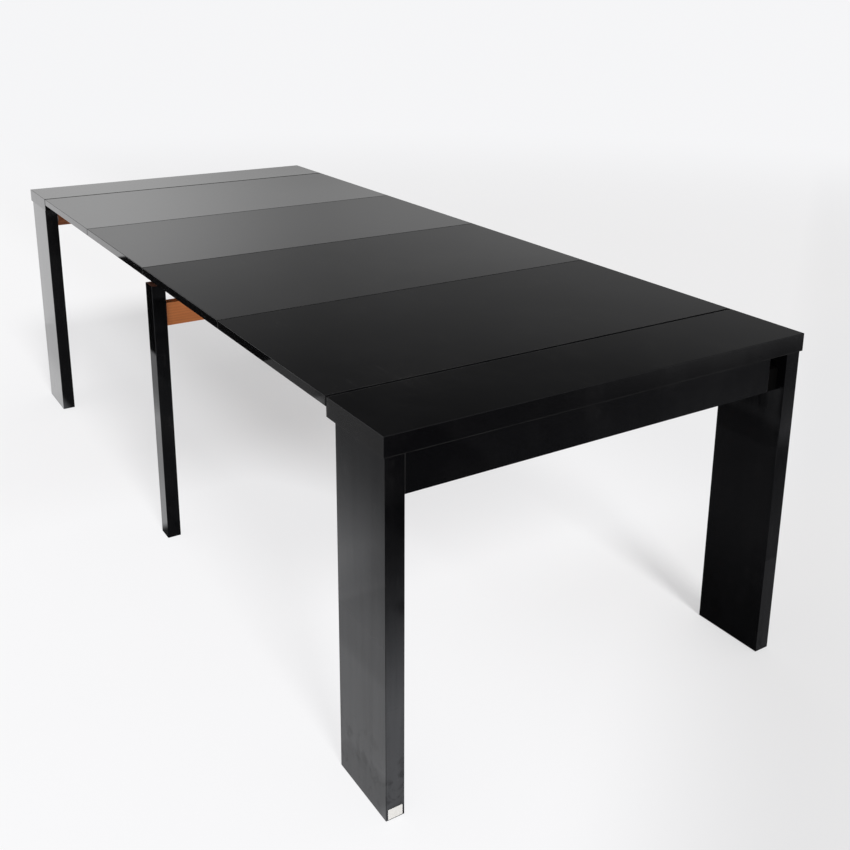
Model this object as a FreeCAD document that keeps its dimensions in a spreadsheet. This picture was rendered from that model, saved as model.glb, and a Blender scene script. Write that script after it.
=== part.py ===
"""Extending console table: two end frames, four loose leaves and a centre support on wooden slides.

X runs along the table, from the near end (-X) to the far end (+X). Left is +Y, right is -Y.
The far end is the near end turned by half a turn about the vertical through the origin, which
lies on the floor under the middle of the table. The table is drawn fully extended.
"""
import os

import FreeCAD
import Part
import Sketcher

DRIVING = (
    # Top
    ("table_width", 1000),
    ("table_height", 745),
    ("panel_depth", 200),
    ("panel_thick", 38),
    ("leaf_depth", 500),
    ("leaf_thick", 19),
    ("seam_gap", 0.6),
    ("edge_round", 1),
    # End frames
    ("leg_thick", 38),
    ("leg_inset", 4),
    ("apron_height", 75),
    ("apron_thick", 20),
    ("notch_width", 50),
    ("carrier_height", 49),
    ("carrier_thick", 24),
    ("bracket_flange", 30),
    ("bracket_height", 20),
    ("bracket_thick", 2),
    # Centre support
    ("mid_leg_depth", 48),
    ("mid_leg_thick", 35),
    ("mid_leg_inset", 13),
    ("mid_leg_drop", 4),
    ("mid_leg_play", 2),
    ("mid_rail_height", 60),
    ("mid_rail_thick", 30),
    ("tenon_length", 15),
    ("tenon_shoulder", 6),
    ("tenon_fit", 0.2),
    ("riser_height", 23),
    # Feet
    ("glide_height", 1.5),
    ("glide_diameter", 22),
    ("glide_inset", 30),
    # Slides and the ties that pair them
    ("slide_thick", 18),
    ("slide_height", 32),
    ("slide_gap", 0.6),
    ("slide_end_play", 1),
    ("slide_lane_play", 14),
    ("slide_headroom", 3),
    ("tongue_depth", 6),
    ("tongue_root", 10),
    ("tongue_flare", 2),
    ("tongue_fit", 0.4),
    ("runner_reach", 15),
    ("stop_length", 19),
    ("stop_play", 1),
    ("seat_height", 2),
    ("seat_width", 12),
    ("tie_width", 25),
    ("tie_height", 16),
    ("tie_gap", 8),
    ("arris", 1.5),
    # Leaf battens and locating pins
    ("batten_width", 40),
    ("batten_inset", 30),
    ("batten_end_gap", 15),
    ("batten_bevel", 10),
    ("pin_diameter", 8),
    ("pin_reach", 12),
    ("pin_fit", 0.3),
    ("pin_end_play", 1),
    ("pin_margin", 120),
)

LEAVES = 4

# Moving slides on each side of the fixed one, the last of them on the end frame
STAGES = 4

# How close a point lies to a plane that it is taken to be on
CLOSE = 1e-6

# Places and sizes that follow from the driving dimensions
FOLLOWING = (
    ("half_run", "%d * sizes.leaf_depth / 2" % LEAVES),
    ("half_length", "sizes.panel_depth + half_run"),
    ("panel_under", "sizes.table_height - sizes.panel_thick"),
    ("leaf_under", "sizes.table_height - sizes.leaf_thick"),
    ("leg_depth", "sizes.panel_depth - sizes.leg_inset - sizes.mid_leg_depth / 2 - sizes.mid_leg_play"),
    ("leg_height", "panel_under - sizes.glide_height"),
    ("leg_face", "half_length - sizes.leg_inset"),
    ("leg_inner", "sizes.table_width / 2 - sizes.leg_inset - sizes.leg_thick"),
    ("apron_back", "leg_face - sizes.apron_thick"),
    ("apron_low", "panel_under - sizes.apron_height"),
    ("slide_top", "panel_under - sizes.slide_headroom"),
    ("slide_low", "slide_top - sizes.slide_height"),
    ("rail_top", "slide_low - sizes.seat_height"),
    ("mid_inner", "sizes.table_width / 2 - sizes.mid_leg_inset - sizes.mid_leg_thick"),
    ("mid_leg_height", "slide_top - sizes.mid_leg_drop - sizes.glide_height"),
    ("mid_rail_low", "slide_low - sizes.riser_height - sizes.mid_rail_height"),
    ("tenon_thick", "sizes.mid_rail_thick - 2 * sizes.tenon_shoulder"),
    ("tenon_height", "sizes.mid_rail_height - 2 * sizes.tenon_shoulder"),
    ("slide_length", "2 * (sizes.panel_depth - sizes.leg_inset - sizes.apron_thick - sizes.slide_end_play)"),
    ("travel", "half_run / %d" % STAGES),
    ("slide_lane", "min(leg_inner; mid_inner) - sizes.slide_lane_play"),
    ("slide_pitch", "sizes.slide_thick + sizes.slide_gap"),
    ("tongue_length", "slide_length - travel - sizes.stop_length - sizes.stop_play"),
    ("groove_depth", "sizes.tongue_depth + sizes.tongue_fit - sizes.slide_gap"),
    ("tongue_slope", "sizes.tongue_flare / sizes.tongue_depth"),
    ("batten_height", "leaf_under - slide_top"),
    ("batten_length", "sizes.table_width - 2 * sizes.batten_end_gap"),
    ("pin_spread", "sizes.table_width / 2 - sizes.pin_margin"),
    ("pin_hole", "sizes.pin_diameter + 2 * sizes.pin_fit"),
)

doc = FreeCAD.newDocument("extending_console_table")
pieces = []


def fill_sheet(name, rows):
    """A sheet with one named value to a row."""
    sheet = doc.addObject("Spreadsheet::Sheet", name)
    for row, (alias, content) in enumerate(rows, start=1):
        sheet.set("A%d" % row, alias)
        sheet.set("B%d" % row, content)
        sheet.setAlias("B%d" % row, alias)
    doc.recompute()
    return sheet


fill_sheet("sizes", [(alias, str(number)) for alias, number in DRIVING])
layout = fill_sheet("layout", [(alias, "=" + formula) for alias, formula in FOLLOWING])


def value(expression):
    """The number that an expression over the two sheets stands for."""
    return float(layout.evalExpression(expression))


def new_piece(label):
    """A body that becomes one node; grouped identical solids are allowed in it."""
    body = doc.addObject("PartDesign::Body", label)
    body.Label = label
    body.AllowCompound = True
    pieces.append(body)
    return body


def place(body, x, y, z, turned=False):
    """Puts a piece where the near end needs it, or at the same place of the far end."""
    if turned:
        body.Placement = FreeCAD.Placement(FreeCAD.Vector(), FreeCAD.Rotation(FreeCAD.Vector(0, 0, 1), 180))
        x = "-(%s)" % x
        y = "-(%s)" % y
    for axis, expression in zip("xyz", (x, y, z)):
        body.setExpression("Placement.Base." + axis, expression)


def own_plane(body, role):
    """One of the origin planes of a body."""
    return next(feature for feature in body.Origin.OriginFeatures if feature.Role == role)


def new_sketch(body, role, lift):
    """An empty sketch on an origin plane of its body, lifted along the plane's normal."""
    sketch = body.newObject("Sketcher::SketchObject", body.Name + "_sketch")
    sketch.AttachmentSupport = [(own_plane(body, role), "")]
    sketch.MapMode = "FlatFace"
    sketch.setExpression("AttachmentOffset.Base.z", lift)
    return sketch


def bind_point(sketch, geometry, corner, point):
    """Ties a point of a sketch to two expressions, measured from the sketch's origin."""
    for kind, expression in zip(("DistanceX", "DistanceY"), point):
        index = sketch.addConstraint(Sketcher.Constraint(kind, geometry, corner, value(expression)))
        sketch.setExpression("Constraints[%d]" % index, expression)


def outlines(body, role, loops, lift="0"):
    """A sketch of closed straight-sided loops, each a list of corner expressions."""
    sketch = new_sketch(body, role, lift)
    for corners in loops:
        vectors = [FreeCAD.Vector(value(across), value(up), 0) for across, up in corners]
        first = sketch.GeometryCount
        for start, end in zip(vectors, vectors[1:] + vectors[:1]):
            sketch.addGeometry(Part.LineSegment(start, end), False)
        for number, corner in enumerate(corners):
            line = first + number
            following = first + (number + 1) % len(corners)
            sketch.addConstraint(Sketcher.Constraint("Coincident", line, 2, following, 1))
            bind_point(sketch, line, 1, corner)
    return sketch


def circles(body, role, centres, diameter, lift="0"):
    """A sketch of equal circles."""
    sketch = new_sketch(body, role, lift)
    for centre in centres:
        point = FreeCAD.Vector(value(centre[0]), value(centre[1]), 0)
        shape = Part.Circle(point, FreeCAD.Vector(0, 0, 1), value(diameter) / 2)
        geometry = sketch.addGeometry(shape, False)
        bind_point(sketch, geometry, 3, centre)
        index = sketch.addConstraint(Sketcher.Constraint("Diameter", geometry, value(diameter)))
        sketch.setExpression("Constraints[%d]" % index, diameter)
    return sketch


def box_corners(width, height, across="0", up="0"):
    """Corners of a rectangle about a centre, as expressions."""
    left, right = ("%s - (%s) / 2" % (across, width), "%s + (%s) / 2" % (across, width))
    low, high = ("%s - (%s) / 2" % (up, height), "%s + (%s) / 2" % (up, height))
    return [(left, low), (right, low), (right, high), (left, high)]


def pad(body, sketch, length):
    """Adds a prism on a sketch, along the sketch's normal."""
    feature = body.newObject("PartDesign::Pad", body.Name + "_pad")
    feature.Profile = sketch
    feature.setExpression("Length", length)
    doc.recompute()
    return feature


def pocket(body, sketch, depth, along_normal=False):
    """Cuts a prism, against the sketch's normal unless told otherwise, and proves that it cut."""
    before = body.Shape.Volume
    feature = body.newObject("PartDesign::Pocket", body.Name + "_pocket")
    feature.Profile = sketch
    feature.Reversed = along_normal
    feature.setExpression("Length", depth)
    doc.recompute()
    if not body.Shape.Volume < before:
        raise ValueError(body.Label + ": a pocket cuts nothing")
    return feature


def soften(body, feature, kind, size_name, size, wanted):
    """Rounds or bevels the edges of a feature whose middles pass a test."""
    dress = body.newObject(kind, body.Name + "_edges")
    names = ["Edge%d" % number for number, edge in enumerate(feature.Shape.Edges, start=1)
             if wanted(edge.CenterOfMass)]
    dress.Base = (feature, names)
    dress.setExpression(size_name, size)
    doc.recompute()


def round_board(body, feature):
    """The small radius of a lacquered board, on its top and its upright edges."""
    soften(body, feature, "PartDesign::Fillet", "Radius", "sizes.edge_round",
           lambda middle: middle.z > CLOSE)


def round_leg(body, feature):
    """The small radius of a lacquered leg, on its upright edges."""
    top = feature.Shape.BoundBox.ZMax
    soften(body, feature, "PartDesign::Fillet", "Radius", "sizes.edge_round",
           lambda middle: CLOSE < middle.z < top - CLOSE)


def pin_points(up):
    """Centres of the locating pins along one edge of a top piece."""
    return [("%d * layout.pin_spread" % side, up) for side in (-1, 1)]


def top_piece(label, depth, thick, holed_sides):
    """A board of the top, drawn about its own middle, with pin holes in its seam edges."""
    body = new_piece(label)
    board = pad(body, outlines(body, "XY_Plane", [box_corners(depth, "sizes.table_width")]), thick)
    round_board(body, board)
    for side in holed_sides:
        centres = pin_points("%s - sizes.leaf_thick / 2" % thick)
        edge = circles(body, "YZ_Plane", centres, "layout.pin_hole", "%d * (%s) / 2" % (side, depth))
        pocket(body, edge, "sizes.pin_reach + sizes.pin_end_play", along_normal=side < 0)
    return body


def leaf_middle(number):
    """X of the middle of a leaf, counted from the near end."""
    return "(%s) * sizes.leaf_depth" % (number - (LEAVES + 1) / 2)


def leaf(number):
    """A loose leaf, its two battens and its locating pins."""
    depth = "(sizes.leaf_depth - sizes.seam_gap)"
    middle = leaf_middle(number)
    board = top_piece("leaf_%d" % number, depth, "sizes.leaf_thick", (-1, 1))
    place(board, middle, "0", "layout.leaf_under")
    for side, name in ((-1, "near"), (1, "far")):
        reach = "(sizes.leaf_depth / 2 - sizes.batten_inset - sizes.batten_width / 2)"
        batten("leaf_%d_batten_%s" % (number, name), "%s + %d * %s" % (middle, side, reach))
    seams = [number - 1 - LEAVES / 2]
    if number == LEAVES:
        seams.append(LEAVES / 2)
    pins("leaf_%d_pins" % number, seams)


def batten(label, x):
    """A strip across the underside of a leaf, bevelled at its ends, that lies on the slides."""
    body = new_piece(label)
    strip = outlines(body, "XY_Plane", [box_corners("sizes.batten_width", "layout.batten_length")])
    bar = pad(body, strip, "layout.batten_height")
    half = value("layout.batten_length / 2")
    soften(body, bar, "PartDesign::Chamfer", "Size", "sizes.batten_bevel",
           lambda middle: abs(middle.y) > half - CLOSE and abs(middle.z) < CLOSE)
    place(body, x, "0", "layout.slide_top")


def pins(label, seams):
    """Locating pins of a leaf, half in its own edge and half in its neighbour's."""
    body = new_piece(label)
    for seam in seams:
        centres = pin_points("sizes.table_height - sizes.leaf_thick / 2")
        start = "(%s) * sizes.leaf_depth - sizes.pin_reach" % seam
        pad(body, circles(body, "YZ_Plane", centres, "sizes.pin_diameter", start), "2 * sizes.pin_reach")
    place(body, "0", "0", "0")


def end_panel(end, turned):
    """The thick board at one end of the top."""
    depth = "(sizes.panel_depth - sizes.seam_gap / 2)"
    body = top_piece(end + "_panel", depth, "sizes.panel_thick", (1,))
    place(body, "-layout.half_length + %s / 2" % depth, "0", "layout.panel_under", turned)


def slab_leg(label, side, turned):
    """A broad flat leg, its face set back from the panel's edges by the inset."""
    body = new_piece(label)
    plan = outlines(body, "XY_Plane", [box_corners("layout.leg_depth", "sizes.leg_thick")])
    round_leg(body, pad(body, plan, "layout.leg_height"))
    place(body, "-layout.leg_face + layout.leg_depth / 2",
          "%d * (layout.leg_inner + sizes.leg_thick / 2)" % side, "sizes.glide_height", turned)


def apron(end, turned):
    """The board between the legs, cut short of the right leg by the notch."""
    body = new_piece(end + "_apron")
    length = "(2 * layout.leg_inner - sizes.notch_width)"
    plan = outlines(body, "XY_Plane", [box_corners("sizes.apron_thick", length)])
    board = pad(body, plan, "sizes.apron_height")
    half = value("sizes.apron_thick / 2")
    soften(body, board, "PartDesign::Fillet", "Radius", "sizes.edge_round",
           lambda middle: middle.x < -half + CLOSE)
    place(body, "-layout.leg_face + sizes.apron_thick / 2", "sizes.notch_width / 2",
          "layout.apron_low", turned)


def slide_line(order):
    """Distance from the middle plane to the middle of a slide; order 0 is the outermost slide."""
    return "(layout.slide_lane - %d * layout.slide_pitch - sizes.slide_thick / 2)" % order


def cross_bar(label, width, height, left_end, right_end):
    """A bar across the table, its lower long edges bevelled, from the right end to the left one."""
    body = new_piece(label)
    length = "(%s + %s)" % (left_end, right_end)
    middle_line = "(%s - %s) / 2" % (left_end, right_end)
    bar = pad(body, outlines(body, "XY_Plane", [box_corners(width, length, "0", middle_line)]), height)
    half = value(width) / 2
    soften(body, bar, "PartDesign::Chamfer", "Size", "sizes.arris",
           lambda middle: abs(abs(middle.x) - half) < CLOSE and abs(middle.z) < CLOSE)
    return body


def add_seats(body, width, height, right_order, left_order):
    """Raised seats on a cross bar, one for a slide on the right and one for a slide on the left."""
    lines = ("-" + slide_line(right_order), slide_line(left_order))
    seats = [box_corners(width, "sizes.seat_width", "0", line) for line in lines]
    pad(body, outlines(body, "XY_Plane", seats, height), "sizes.seat_height")


def carrier_rail(end, turned):
    """The rail behind the apron that carries the two end slides."""
    body = cross_bar(end + "_carrier_rail", "sizes.carrier_thick", "sizes.carrier_height",
                     "layout.leg_inner", "layout.leg_inner")
    add_seats(body, "sizes.carrier_thick", "sizes.carrier_height", 2 * STAGES, 0)
    place(body, "-layout.apron_back + sizes.carrier_thick / 2", "0",
          "layout.rail_top - sizes.carrier_height", turned)


def brackets(end, turned):
    """Two bent plates that tie the carrier rail to the legs."""
    body = new_piece(end + "_brackets")
    loops = []
    for side in (-1, 1):
        corner = "%d * layout.leg_inner" % side
        inner = "%d * (layout.leg_inner - sizes.bracket_thick)" % side
        tip = "%d * (layout.leg_inner - sizes.bracket_flange)" % side
        loops.append([("0", corner), ("sizes.bracket_flange", corner), ("sizes.bracket_flange", inner),
                      ("sizes.bracket_thick", inner), ("sizes.bracket_thick", tip), ("0", tip)])
    pad(body, outlines(body, "XY_Plane", loops), "sizes.bracket_height")
    place(body, "-layout.apron_back + sizes.carrier_thick", "0",
          "layout.rail_top - (sizes.carrier_height + sizes.bracket_height) / 2", turned)


def glides(label, along, y, turned=False):
    """Round felt feet under a left and a right leg."""
    body = new_piece(label)
    centres = [(x, "%d * (%s)" % (side, y)) for side in (-1, 1) for x in along]
    pad(body, circles(body, "XY_Plane", centres, "sizes.glide_diameter"), "sizes.glide_height")
    place(body, "0", "0", "0", turned)


def end_frame(end, turned):
    """Everything that moves with one end of the table."""
    end_panel(end, turned)
    slab_leg(end + "_leg_left", 1 if not turned else -1, turned)
    slab_leg(end + "_leg_right", -1 if not turned else 1, turned)
    apron(end, turned)
    carrier_rail(end, turned)
    brackets(end, turned)
    along = ("-layout.leg_face + sizes.glide_inset",
             "-layout.leg_face + layout.leg_depth - sizes.glide_inset")
    glides(end + "_glides", along, "layout.leg_inner + sizes.leg_thick / 2", turned)


def slide(label, order, x, turned):
    """One member of a slide set, with a dovetail tongue on its inner side and a groove on its outer side.

    The tongue is short and the groove stops before the outer end, so that the slides can't be drawn apart.
    The outermost member runs on past the others, into the notch of the other end when the table is closed.
    """
    body = new_piece(label)
    free_end = "-layout.slide_length / 2"
    reach = "sizes.runner_reach" if order == 0 else "0"
    section = outlines(body, "YZ_Plane", [box_corners("sizes.slide_thick", "sizes.slide_height")],
                       "%s - %s" % (free_end, reach))
    pad(body, section, "layout.slide_length + %s" % reach)
    if order < 2 * STAGES:
        inner_face = "sizes.slide_thick / 2"
        root = "sizes.tongue_root / 2"
        tip = "(sizes.tongue_root / 2 + sizes.tongue_flare)"
        tongue = [(inner_face, "-" + root), (inner_face + " + sizes.tongue_depth", "-" + tip),
                  (inner_face + " + sizes.tongue_depth", tip), (inner_face, root)]
        pad(body, outlines(body, "YZ_Plane", [tongue], free_end), "layout.tongue_length")
    if order > 0:
        outer_face = "-sizes.slide_thick / 2"
        mouth = "(sizes.tongue_root / 2 + layout.tongue_slope * sizes.slide_gap + sizes.tongue_fit)"
        floor = "(%s + layout.tongue_slope * layout.groove_depth)" % mouth
        groove = [(outer_face, "-" + mouth), (outer_face + " + layout.groove_depth", "-" + floor),
                  (outer_face + " + layout.groove_depth", floor), (outer_face, mouth)]
        pocket(body, outlines(body, "YZ_Plane", [groove], free_end),
               "layout.slide_length - sizes.stop_length", along_normal=True)
    place(body, x, "-" + slide_line(order), "(layout.slide_top + layout.slide_low) / 2", turned)


def slide_pair(name, right_order, x):
    """The right and the left slide of one stage; the left set is the right one turned by half a turn."""
    slide("slide_%s_right" % name, right_order, x, False)
    slide("slide_%s_left" % name, 2 * STAGES - right_order, "-(%s)" % x, True)


def tie(label, right_order, x):
    """The bar under a pair of middle slides that makes them one carriage."""
    left_order = 2 * STAGES - right_order
    ends = ["(%s + sizes.slide_thick / 2)" % slide_line(order) for order in (left_order, right_order)]
    body = cross_bar(label, "sizes.tie_width", "sizes.tie_height", *ends)
    add_seats(body, "sizes.tie_width", "sizes.tie_height", right_order, left_order)
    place(body, x, "0", "layout.rail_top - sizes.tie_height")


def carriages(end, sign):
    """The middle slides of one end with their ties, and the slides that its end frame carries."""
    for stage in range(1, STAGES + 1):
        right_order = STAGES - sign * stage
        slide_pair("%s_%d" % (end, stage), right_order, "%d * layout.travel" % (sign * stage))
        if stage < STAGES:
            nested = "sizes.mid_rail_thick / 2 + %d * (sizes.tie_gap + sizes.tie_width)" % stage
            tie("tie_%s_%d" % (end, stage), right_order,
                "%d * (%s - sizes.tie_width / 2 + %d * layout.travel)" % (sign, nested, stage))


def mid_leg(label, turned):
    """A slim leg of the centre support, with a mortise for the rail in its inner face."""
    body = new_piece(label)
    plan = outlines(body, "XY_Plane", [box_corners("sizes.mid_leg_depth", "sizes.mid_leg_thick")])
    round_leg(body, pad(body, plan, "layout.mid_leg_height"))
    mortise = box_corners("layout.tenon_thick + 2 * sizes.tenon_fit",
                          "layout.tenon_height + 2 * sizes.tenon_fit", "0",
                          "(layout.mid_rail_low + sizes.mid_rail_height / 2 - sizes.glide_height)")
    pocket(body, outlines(body, "XZ_Plane", [mortise], "sizes.mid_leg_thick / 2"),
           "sizes.tenon_length + sizes.tenon_fit")
    place(body, "0", "layout.mid_inner + sizes.mid_leg_thick / 2", "sizes.glide_height", turned)


def mid_rail():
    """The rail of the centre support, tenoned into both legs."""
    body = cross_bar("mid_rail", "sizes.mid_rail_thick", "sizes.mid_rail_height",
                     "layout.mid_inner", "layout.mid_inner")
    tenons = box_corners("layout.tenon_thick", "2 * (layout.mid_inner + sizes.tenon_length)")
    pad(body, outlines(body, "XY_Plane", [tenons], "sizes.tenon_shoulder"), "layout.tenon_height")
    place(body, "0", "0", "layout.mid_rail_low")


def riser(label, turned):
    """The block that lifts a fixed slide off the rail of the centre support."""
    body = new_piece(label)
    plan = outlines(body, "XY_Plane", [box_corners("sizes.mid_rail_thick", "sizes.seat_width")])
    pad(body, plan, "sizes.riser_height")
    place(body, "0", slide_line(STAGES), "layout.slide_low - sizes.riser_height", turned)


def centre_support():
    """The two slim legs, their rail and the slides that stay with them."""
    for name, turned in (("left", False), ("right", True)):
        mid_leg("mid_leg_" + name, turned)
        riser("riser_" + name, turned)
    mid_rail()
    glides("mid_glides", ("0",), "layout.mid_inner + sizes.mid_leg_thick / 2")
    slide_pair("centre", STAGES, "0")


def check(objects):
    """Stops on any failed feature or broken shape."""
    for item in objects:
        if "Invalid" in item.State or "Error" in item.State:
            raise ValueError("%s: %s" % (item.Label, item.State))
    for body in pieces:
        if body.Shape.isNull() or not body.Shape.isValid() or not body.Shape.Solids:
            raise ValueError(body.Label + ": broken shape")


centre_support()
for end_name, outward in (("near", -1), ("far", 1)):
    end_frame(end_name, outward > 0)
    carriages(end_name, outward)
for leaf_number in range(1, LEAVES + 1):
    leaf(leaf_number)

doc.recompute()
check(doc.Objects)

os.makedirs("parts", exist_ok=True)
for piece in pieces:
    piece.Shape.exportStep("parts/%s.step" % piece.Label)
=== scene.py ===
"""Looks of the extending console table: finishes, small fasteners, floor, light and camera.

Lengths are metres in the frame of the table: X runs from the near end to the far one, Y to the left, Z up.
A ramp is given by where it starts and ends and, unless it rises from 0 to 1, by its values there.
A noise is given by its scale, its detail, its roughness and its distortion.
"""
import math
from types import SimpleNamespace

import bmesh
import bpy
from mathutils import Matrix, Vector


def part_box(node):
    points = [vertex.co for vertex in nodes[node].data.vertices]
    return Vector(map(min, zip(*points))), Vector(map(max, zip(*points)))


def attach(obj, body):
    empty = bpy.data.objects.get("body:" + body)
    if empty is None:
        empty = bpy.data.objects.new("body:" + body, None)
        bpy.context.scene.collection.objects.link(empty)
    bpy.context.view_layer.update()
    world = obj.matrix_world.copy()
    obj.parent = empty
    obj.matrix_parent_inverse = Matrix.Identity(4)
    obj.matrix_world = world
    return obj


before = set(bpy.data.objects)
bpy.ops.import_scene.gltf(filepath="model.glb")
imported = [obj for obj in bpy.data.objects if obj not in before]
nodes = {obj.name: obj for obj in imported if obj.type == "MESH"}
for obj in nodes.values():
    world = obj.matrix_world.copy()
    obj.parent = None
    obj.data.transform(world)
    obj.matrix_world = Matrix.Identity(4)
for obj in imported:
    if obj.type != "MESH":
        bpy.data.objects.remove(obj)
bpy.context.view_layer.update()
scene = bpy.context.scene

# Places on the table that the finishes follow
LEAVES = 4
LEAF_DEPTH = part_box("leaf_2")[0].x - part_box("leaf_1")[0].x
HALF_RUN = LEAVES * LEAF_DEPTH / 2
PANEL_DEPTH = -HALF_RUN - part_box("near_panel")[0].x
PANEL_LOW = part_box("near_panel")[0].z
APRON_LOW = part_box("near_apron")[0].z
LEG_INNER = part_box("near_leg_left")[0].y
MID_LEG_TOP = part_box("mid_leg_left")[1].z


# Nodes of a material
def add(tree, kind, inputs=None, **settings):
    """A node with its settings, its values and its links."""
    made = tree.nodes.new(kind)
    for name, setting in settings.items():
        setattr(made, name, setting)
    for name, given in (inputs or {}).items():
        if isinstance(given, bpy.types.NodeSocket):
            tree.links.new(given, made.inputs[name])
        else:
            made.inputs[name].default_value = given
    return made


def calc(tree, operation, first, second=0.0, clamp=False):
    """The result of a sum on one or two values."""
    made = add(tree, "ShaderNodeMath", {0: first, 1: second}, operation=operation, use_clamp=clamp)
    return made.outputs[0]


def product(tree, *factors):
    """The product of several values."""
    result = factors[0]
    for factor in factors[1:]:
        result = calc(tree, "MULTIPLY", result, factor)
    return result


def within(tree, given, centre, reach):
    """One where a value lies within reach of a centre."""
    return add(tree, "ShaderNodeMath", {0: given, 1: centre, 2: reach}, operation="COMPARE").outputs[0]


def ramped(tree, given, low, high, start=0.0, end=1.0):
    """A value that eases from start to end while the given one goes from low to high."""
    made = add(tree, "ShaderNodeMapRange",
               {"Value": given, "From Min": low, "From Max": high, "To Min": start, "To Max": end},
               interpolation_type="SMOOTHSTEP")
    return made.outputs["Result"]


def blended(tree, share, first, second):
    """A colour between two."""
    return add(tree, "ShaderNodeMix", {0: share, 6: first, 7: second}, data_type="RGBA").outputs[2]


def between(tree, share, first, second):
    """A value between two."""
    return add(tree, "ShaderNodeMix", {0: share, 2: first, 3: second}, data_type="FLOAT").outputs[0]


def parted(tree, vector):
    """The X, Y and Z of a vector."""
    return add(tree, "ShaderNodeSeparateXYZ", {0: vector}).outputs


def vector_calc(tree, operation, *vectors):
    """The node that works out a sum on vectors."""
    return add(tree, "ShaderNodeVectorMath", dict(enumerate(vectors)), operation=operation)


def stretched(tree, coords, scale, shift=(0.0, 0.0, 0.0)):
    """Coordinates drawn out by a factor to each axis."""
    return add(tree, "ShaderNodeMapping", {"Vector": coords, "Location": shift, "Scale": scale}).outputs[0]


def noise(tree, coords, scale, detail=2.0, roughness=0.5, distortion=0.0):
    """Soft noise between 0 and 1."""
    return add(tree, "ShaderNodeTexNoise",
               {"Vector": coords, "Scale": scale, "Detail": detail, "Roughness": roughness,
                "Distortion": distortion}).outputs["Fac"]


def clouds(tree, coords, settings, cut):
    """Noise cut to clouds with soft borders."""
    return ramped(tree, noise(tree, coords, *settings), *cut)


def bumped(tree, height, distance, strength=1.0):
    """The normal of a surface with a fine relief."""
    made = add(tree, "ShaderNodeBump", {"Height": height, "Distance": distance, "Strength": strength})
    return made.outputs[0]


def new_material(name):
    """An empty material with its surface shader, and its object's coordinates."""
    material = bpy.data.materials.new(name)
    material.use_nodes = True
    tree = material.node_tree
    tree.nodes.clear()
    shader = add(tree, "ShaderNodeBsdfPrincipled")
    add(tree, "ShaderNodeOutputMaterial", {"Surface": shader.outputs[0]})
    coords = add(tree, "ShaderNodeTexCoord").outputs["Object"]
    return material, tree, shader, coords


def set_inputs(tree, shader, **inputs):
    """Values and links of a shader, named with underscores."""
    for name, given in inputs.items():
        socket = shader.inputs[name.replace("_", " ")]
        if isinstance(given, bpy.types.NodeSocket):
            tree.links.new(given, socket)
        else:
            socket.default_value = given


# Lacquer: its tones and its gloss on the boards of the top, the frame and the far legs
LACQUER_TONE = (0.0020, 0.0020, 0.0024, 1.0)
# The dust's tone also colours the painted highlight lines in the joints
DUST_AND_HIGHLIGHT_TONE = (0.060, 0.059, 0.058, 1.0)
RAW_TONE = (0.200, 0.062, 0.034, 1.0)
FULL_GLOSS = 0.5
BASE_ROUGHNESS = 0.028
RAW_ROUGHNESS = 0.6
BOARD_IOR = 1.45
# The board and frame tints make the gloss cool: a painted tint of the daylight that it reflects
BOARD_DAYLIGHT_TINT = (0.965, 0.965, 1.0, 1.0)
BOARD_COAT = 0.35
FRAME_IOR = 1.68
FRAME_DAYLIGHT_TINT = (0.925, 0.945, 1.0, 1.0)
FAR_IOR = 1.50
FAR_COAT = 0.60

# Slope of a board at its edges, from its slight sag, and the ripple of all lacquer
LEAF_CUP = 0.0105
PANEL_CUP = 0.004
RIPPLE_NOISE = (110.0, 1.0)
RIPPLE_HEIGHT = 6e-6

# Finger marks, dust and scratches, and painted highlight lines in the joints
SMUDGE_NOISE = (5.0, 4.0, 0.6)
SMUDGE_CUT = (0.42, 0.74)
SMUDGE_ROUGHNESS = 0.035
SMUDGE_HAZE = 0.035
PATCH_NOISE = (9.0, 3.0, 0.6, 0.4)
PATCH_CUT = (0.50, 0.70)
FLECK_SCALE = 75.0
FLECK_CUT = (0.085, 0.045)
FLECK_SHARE = 0.55
SCRATCH_NOISE = (1.0, 1.0, 0.5, 0.3)
LONG_SCRATCHES = ((2.5, 260.0, 210.0), 0.010)
UPRIGHT_SCRATCHES = ((240.0, 200.0, 3.0), 0.008)
SCRATCH_SHARE = 0.28
# Painted highlight lines under a panel and in the joint of apron and leg
JOINT_NOISE = (7.0, 3.0, 0.6)
HIGHLIGHT_LINE_REACH = 0.0008
LEDGE_SHARE = 0.50
JOINT_SHARE = 0.58

# Where the lacquer is worn
EDGE_CUT = (0.992, 0.94)
STREAK_STRETCH = (42.0, 42.0, 2.4)
STREAK_NOISE = (1.0, 4.0, 0.65, 0.4)
STREAK_CUT = (0.34, 0.68)
BLOT_NOISE = (34.0, 4.0, 0.7, 0.6)
BLOT_CUT = (0.52, 0.64)
BLOT_HEIGHT = (0.24, 0.06)
UNDERSIDE_CUT = (-0.4, -0.8)
SEAM_BREADTH = (0.6, 0.95, 0.0036, 0.0075)
SEAM_CUT = (1.0, 0.3)
BAND_RISE = (-0.12, -0.05)
FACING = 0.5

# What each kind of wear takes from the gloss and adds to the roughness
EDGE_WEAR = (0.55, 0.22)
STREAK_WEAR = (0.20, 0.0)
BLOT_WEAR = (0.36, 0.08)
SCUFF_WEAR = (0.0, 0.35)
UNDERSIDE_WEAR = (0.0, 0.30)
SEAM_WEAR = (1.0, 0.40)
BAND_WEAR = (0.74, 0.20)
INNER_WEAR = (0.45, 0.30)


def surface(tree, coords):
    """Where a point of a surface lies and which way it faces."""
    facing = add(tree, "ShaderNodeNewGeometry").outputs["Normal"]
    turned = parted(tree, facing)
    upright = calc(tree, "SUBTRACT", 1.0, calc(tree, "ABSOLUTE", turned["Z"]))
    return SimpleNamespace(coords=coords, axes=parted(tree, coords), facing=facing, turned=turned,
                           upright=upright)


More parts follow.
